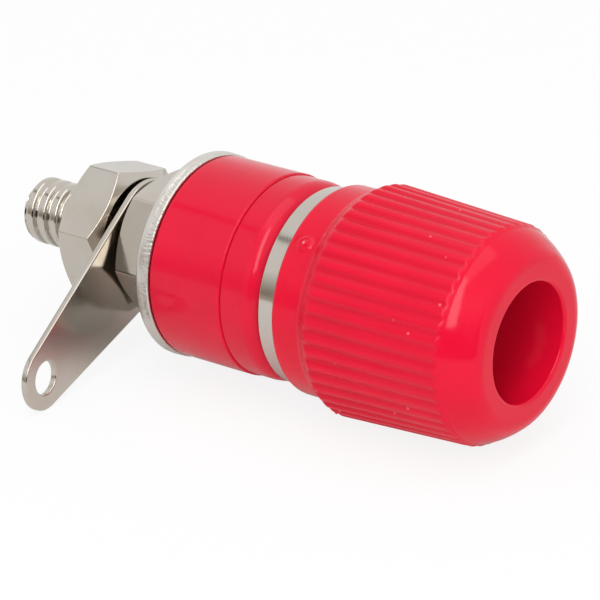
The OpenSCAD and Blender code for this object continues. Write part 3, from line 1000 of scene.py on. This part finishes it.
def tag_mesh(hardware):
    """The stamped tag: its rim, the walls of its two holes and its two faces, joined along their edges.

    Each edge is an arc: the inset is e * (1 - sin a) and the height t / 2 - e * (1 - cos a), with a from 0 to
    90 degrees. Each face is two fans of rings, which run from the outline to the circle of a hole. The plane
    of the tag is given by its eye: it holds the eye's centre, and the eye's axis is its normal.
    """
    eye_mount = MOUNTS["tag_eye"]
    normal = unit(np.array(eye_mount["axis"], dtype=float))
    eye_world = np.array(eye_mount["pos_m"])
    origin = np.array([0, normal @ eye_world / normal[1], 0])
    reach_out = np.linalg.norm(eye_world - origin)
    lengthwise = (eye_world - origin) / reach_out
    crosswise = np.cross(normal, lengthwise)
    half = eye_mount["dims"]["length_mm"] * MM / 2
    eye_radius = eye_mount["dims"]["r_mm"] * MM
    eye = np.array([reach_out, 0])
    edge = hardware.tag_edge
    swing = np.linspace(0, np.pi / 2, EDGE_STEPS)
    inset = edge * (1 - np.sin(swing))
    height = half - edge * (1 - np.cos(swing))
    inset = np.concatenate([inset, inset[::-1]])
    height = np.concatenate([height, -height[::-1]])
    points, faces, count = [], [], 0

    def add_rings(rings, heights):
        """Adds a stack of closed loops, each at its height, as one grid."""
        nonlocal count
        rings = np.stack(rings)
        flat = origin + rings[..., :1] * lengthwise + rings[..., 1:] * crosswise
        grid = flat + np.asarray(heights)[:, None, None] * normal
        points.append(grid.reshape(-1, 3))
        faces.extend((grid_faces(*grid.shape[:2], rows_close=False) + count).tolist())
        count += grid.shape[0] * grid.shape[1]

    loops = [tag_loop(hardware.tag_ring, hardware.tag_end, reach_out, amount) for amount in inset]
    add_rings([np.vstack([ring_half, end_half]) for ring_half, end_half, _ in loops], height)
    ring_half, end_half, middle = loops[0]
    ring_face = np.vstack([ring_half, across_line(middle * MIRROR, middle)])
    end_face = np.vstack([end_half, across_line(middle, middle * MIRROR)])
    for loop, centre, radius in ((ring_face, np.zeros(2), hardware.washer_hole), (end_face, eye, eye_radius)):
        add_rings([circle_towards(loop, centre, radius + amount) for amount in inset], height)
        inner = circle_towards(loop, centre, radius + edge)
        for side in (half, -half):
            add_rings([loop + (inner - loop) * share for share in FACE_RINGS], [side] * len(FACE_RINGS))
    return new_mesh("stamped_tag", np.vstack(points), faces)


def stage_piece(name, points, faces, material):
    """Piece of the stage, which is no part of the binding post."""
    mesh = bpy.data.meshes.new(name)
    mesh.from_pydata(points, [], faces)
    mesh.materials.append(material)
    piece = add_object(name, mesh)
    return piece


def flat_sheet(name, middle, across, up, material):
    """Flat stage piece: a rectangle of half sides across and up about its middle."""
    corners = [middle - across - up, middle + across - up, middle + across + up, middle - across + up]
    return stage_piece(name, corners, [(0, 1, 2, 3)], material)


def matt(tree, tone):
    """Plain matt shader of one colour."""
    return add_node(tree, "ShaderNodeBsdfDiffuse", {"Color": (*tone, 1)}).outputs["BSDF"]


def white_for_the_lens(tree, lit, white):
    """The white shader for camera, glossy and transmission rays, and the lit one for the rest."""
    path = add_node(tree, "ShaderNodeLightPath").outputs
    seen = combined(tree, "MAXIMUM", path["Is Camera Ray"], path["Is Glossy Ray"])
    seen = combined(tree, "MAXIMUM", seen, path["Is Transmission Ray"])
    return mixed(tree, seen, lit, white)


WHITE, FLOOR_WHITE = (1, 1, 1, 1), (0.9, 0.9, 0.9)


def make_room(stage):
    """White world: plain white to the lens, and the room light on the object."""
    world = bpy.data.worlds.new("White room")
    world.use_nodes = True
    tree = world.node_tree
    tree.nodes.clear()
    rooms = [add_node(tree, "ShaderNodeBackground", {"Color": WHITE, "Strength": strength})
             for strength in (stage.room_light, 1.0)]
    shader = white_for_the_lens(tree, *(room.outputs["Background"] for room in rooms))
    add_node(tree, "ShaderNodeOutputWorld", {"Surface": shader})
    bpy.context.scene.world = world


# Half the side of the floor, in metres
FLOOR_HALF = 0.9


def make_floor(stage):
    """White floor under the part: plain white to the lens and to reflections, mixed with its own shading.

    The share of its own shading is the mirrored shadow, and falls to the floor shadow for camera rays.
    """
    material, tree = new_material("Floor")
    paint = matt(tree, FLOOR_WHITE)
    glow = add_node(tree, "ShaderNodeEmission", {"Color": WHITE, "Strength": 1.0}).outputs["Emission"]
    to_lens = add_node(tree, "ShaderNodeLightPath").outputs["Is Camera Ray"]
    share = spread(tree, to_lens, stage.mirrored_shadow, stage.floor_shadow, 0.0, 1.0)
    show(tree, white_for_the_lens(tree, paint, mixed(tree, share, glow, paint)))
    middle = Vector((0, 0, CAD_BOX[0][2]))
    flat_sheet("floor", middle, Vector((FLOOR_HALF, 0, 0)), Vector((0, FLOOR_HALF, 0)), material)


def only_in_reflections(card):
    """Keeps a stage piece out of the lens, the shadows and the soft light."""
    card.visible_camera = False
    card.visible_diffuse = False
    card.visible_shadow = False


# The seam: its direction on the cone, its distance and its two sides in metres, and its grey
SEAM_TURN = math.radians(113.5)
SEAM_DISTANCE, SEAM_LENGTH, SEAM_WIDTH = 0.40, 0.30, 0.022
SEAM_GREY = (0.24, 0.23, 0.21)


def make_seam(stage):
    """The dark seam of the light tent, a card that draws a thin line on the collar.

    A wall that runs round the post's axis keeps the share of the line of sight along that axis, so all it
    shows lies on a cone: direction = (c * cos(angle), s, c * sin(angle)), with s that share and
    c = sqrt(1 - s^2). The card faces the part.
    """
    share = -line_of_sight(stage).y
    rest = math.sqrt(1 - share ** 2)
    direction = Vector((rest * math.cos(SEAM_TURN), share, rest * math.sin(SEAM_TURN)))
    across = direction.cross(Vector((0, 0, 1))).normalized()
    up = across.cross(direction)
    material, tree = new_material("Grey card")
    show(tree, matt(tree, SEAM_GREY))
    card = flat_sheet("upper_seam", direction * SEAM_DISTANCE, across * SEAM_LENGTH / 2, up * SEAM_WIDTH / 2,
                      material)
    only_in_reflections(card)


def fading_dark(name, tone, low, high):
    """Dark matt cloth that thins out with height, from full at the low height to none at the high one."""
    material, tree = new_material(name)
    place = add_node(tree, "ShaderNodeTexCoord").outputs["Object"]
    height = add_node(tree, "ShaderNodeSeparateXYZ", {"Vector": place}).outputs["Z"]
    clear = add_node(tree, "ShaderNodeBsdfTransparent").outputs["BSDF"]
    show(tree, mixed(tree, spread(tree, height, 0.0, 1.0, low, high), matt(tree, tone), clear))
    return material


# The surrounds: distance of their wall and height over the floor, in metres, and columns of their grid
SURROUND_WALL, SURROUND_LIFT, SURROUND_COLUMNS = 0.60, 0.0001, 48


def make_surround(name, turns, inner, fade, tone):
    """Dark surround of the white table, which shows only in reflections.

    Its profile runs over the table from the inner radius to the wall and up the wall, and is carried about Z
    between two turns, which count as the camera's does. The fade is the two elevations between which it
    thins out. Turns and elevations are in degrees.
    """
    floor = CAD_BOX[0][2] + SURROUND_LIFT
    low, high = (SURROUND_WALL * math.tan(math.radians(rise)) for rise in fade)
    radius = np.array([inner, SURROUND_WALL, SURROUND_WALL])[:, None]
    height = np.array([floor, floor, high])[:, None]
    angle = np.radians(np.linspace(*turns, SURROUND_COLUMNS))[None, :]
    points = np.stack(np.broadcast_arrays(radius * np.sin(angle), -radius * np.cos(angle), height), axis=-1)
    index = np.arange(points.shape[0] * points.shape[1]).reshape(points.shape[:2])
    faces = np.stack([index[:-1, :-1], index[1:, :-1], index[1:, 1:], index[:-1, 1:]], axis=-1).reshape(-1, 4)
    only_in_reflections(stage_piece(name, points.reshape(-1, 3).tolist(), faces.tolist(),
                                    fading_dark(name, tone, low, high)))


def make_softbox(name, place, size, watts):
    """Rectangular area light at a place, turned towards the origin."""
    lamp = bpy.data.lights.new(name, "AREA")
    lamp.shape = "RECTANGLE"
    lamp.size, lamp.size_y = size
    lamp.energy = watts
    holder = add_object(name, lamp)
    holder.location = place
    holder.rotation_euler = (Vector((0, 0, 0)) - Vector(place)).to_track_quat("-Z", "Y").to_euler()
    return holder


def line_of_sight(stage):
    """Direction from the part to the camera."""
    rise, swing = stage.camera_rise, stage.camera_turn
    return Vector((math.sin(swing) * math.cos(rise), -math.cos(swing) * math.cos(rise), math.sin(rise)))


def make_camera(stage):
    """Camera on the photograph's line of sight, looking at its aim."""
    sight = line_of_sight(stage)
    lens = bpy.data.cameras.new("Camera")
    lens.lens = stage.focal_length
    lens.sensor_width = SENSOR_WIDTH
    lens.clip_start = 0.01
    lens.clip_end = 10
    camera = add_object("Camera", lens)
    camera.location = Vector(stage.camera_aim) + sight * stage.camera_distance
    camera.rotation_euler = (-sight).to_track_quat("-Z", "Y").to_euler()
    bpy.context.scene.camera = camera


class BINDING_POST_OT_stage(bpy.types.Operator):
    """Sets up the white room, the floor, the lights and the camera"""

    bl_idname = "binding_post.stage"
    bl_label = "Stage"

    def execute(self, context):
        stage = context.scene.binding_post.stage
        context.scene.view_settings.view_transform = "Standard"
        make_room(stage)
        make_floor(stage)
        make_softbox("Key light", place=(-0.334, -0.149, 0.341), size=(0.14, 0.44), watts=stage.key_power)
        make_softbox("Top light", place=(0, 0, 0.60), size=(0.50, 0.50), watts=stage.top_power)
        front = make_softbox("Front light", place=(-0.25, -0.52, 0.22), size=(0.50, 0.50),
                             watts=stage.front_power)
        front.visible_glossy = False
        make_seam(stage)
        make_surround("front_surround", turns=(-10, -88), inner=0.05, fade=(8, 36), tone=(0.035, 0.03, 0.028))
        make_surround("side_surround", turns=(-88, -136), inner=0.08, fade=(3, 22), tone=(0.46, 0.40, 0.33))
        make_camera(stage)
        return {"FINISHED"}


class BINDING_POST_OT_cap(bpy.types.Operator):
    """Makes the ribbed screw cap"""

    bl_idname = "binding_post.cap"
    bl_label = "Screw cap"

    def execute(self, context):
        settings = context.scene.binding_post
        new_piece("cap_moulding", cap_mesh(settings.cap), "cap", cap_plastic(settings.finish, settings.cap))
        return {"FINISHED"}


class BINDING_POST_OT_bush(bpy.types.Operator):
    """Gives the bush in the cap its plating"""

    bl_idname = "binding_post.bush"
    bl_label = "Cap bush"

    def execute(self, context):
        bush = frame["nodes"]["cap_bush"]
        for slot in bush.material_slots:
            slot.material = nickel_plate(context.scene.binding_post.finish)
        return {"FINISHED"}


class BINDING_POST_OT_post(bpy.types.Operator):
    """Makes the turned post with its two threads, plug bore and wire hole"""

    bl_idname = "binding_post.post"
    bl_label = "Turned post"

    def execute(self, context):
        settings = context.scene.binding_post
        post, plate = settings.post, nickel_plate(settings.finish)
        piece = new_piece("turned_post", post_mesh(post), "socket_post", plate)
        wire = MOUNTS["wire_hole"]
        cut_through(piece, hole_cutter(wire["dims"]["r_mm"] * MM, 2 * post.stem_radius, wire["pos_m"]))
        return {"FINISHED"}


class BINDING_POST_OT_body(bpy.types.Operator):
    """Makes the two moulded insulators"""

    bl_idname = "binding_post.body"
    bl_label = "Insulators"

    def execute(self, context):
        settings = context.scene.binding_post
        plastic = body_plastic(settings.finish)
        new_piece("front_moulding", front_insulator_mesh(settings.body), "front_insulator", plastic)
        new_piece("rear_moulding", rear_insulator_mesh(settings.body), "rear_insulator", plastic)
        return {"FINISHED"}


class BINDING_POST_OT_washer(bpy.types.Operator):
    """Makes the punched washer"""

    bl_idname = "binding_post.washer"
    bl_label = "Washer"

    def execute(self, context):
        settings = context.scene.binding_post
        plate = washer_plate(settings.finish)
        new_piece("punched_washer", washer_mesh(settings.hardware), "flat_washer", plate)
        return {"FINISHED"}


class BINDING_POST_OT_nuts(bpy.types.Operator):
    """Makes the clamp nut and the lock nut"""

    bl_idname = "binding_post.nuts"
    bl_label = "Nuts"

    def execute(self, context):
        settings = context.scene.binding_post
        hardware = settings.hardware
        plate = nickel_plate(settings.finish)
        for name, node, nut_turn in (("clamp_hex", "clamp_nut", hardware.clamp_nut_turn),
                                     ("lock_hex", "lock_nut", hardware.lock_nut_turn)):
            new_piece(name, nut_mesh(name, node, hardware, nut_turn), node, plate)
        return {"FINISHED"}


class BINDING_POST_OT_tag(bpy.types.Operator):
    """Makes the stamped solder tag"""

    bl_idname = "binding_post.tag"
    bl_label = "Solder tag"

    def execute(self, context):
        settings = context.scene.binding_post
        new_piece("stamped_tag", tag_mesh(settings.hardware), "solder_tag", tag_plate(settings.finish))
        return {"FINISHED"}


class BINDING_POST_PT_pieces(bpy.types.Panel):
    """Lists what makes the stage and the pieces of the binding post"""

    bl_label = "Binding Post"
    bl_idname = "BINDING_POST_PT_pieces"
    bl_space_type = "VIEW_3D"
    bl_region_type = "UI"
    bl_category = "Binding Post"

    def draw(self, context):
        for operator in OPERATORS:
            self.layout.operator(operator.bl_idname)


SETTINGS = (CapSettings, PostSettings, BodySettings, HardwareSettings, FinishSettings, StageSettings,
            BindingPostSettings)
OPERATORS = (BINDING_POST_OT_stage, BINDING_POST_OT_cap, BINDING_POST_OT_bush, BINDING_POST_OT_post,
             BINDING_POST_OT_body, BINDING_POST_OT_washer, BINDING_POST_OT_nuts, BINDING_POST_OT_tag)
CLASSES = SETTINGS + OPERATORS + (BINDING_POST_PT_pieces,)


def register():
    """Registers the classes and gives the scene its settings."""
    for cls in CLASSES:
        bpy.utils.register_class(cls)
    bpy.types.Scene.binding_post = PointerProperty(type=BindingPostSettings)


def unregister():
    """Takes back what register did."""
    del bpy.types.Scene.binding_post
    for cls in reversed(CLASSES):
        bpy.utils.unregister_class(cls)


def main():
    register()
    bpy.ops.binding_post.stage()
    bpy.ops.binding_post.cap()
    bpy.ops.binding_post.bush()
    bpy.ops.binding_post.post()
    bpy.ops.binding_post.body()
    bpy.ops.binding_post.washer()
    bpy.ops.binding_post.nuts()
    bpy.ops.binding_post.tag()


if __name__ == "__main__":
    main()
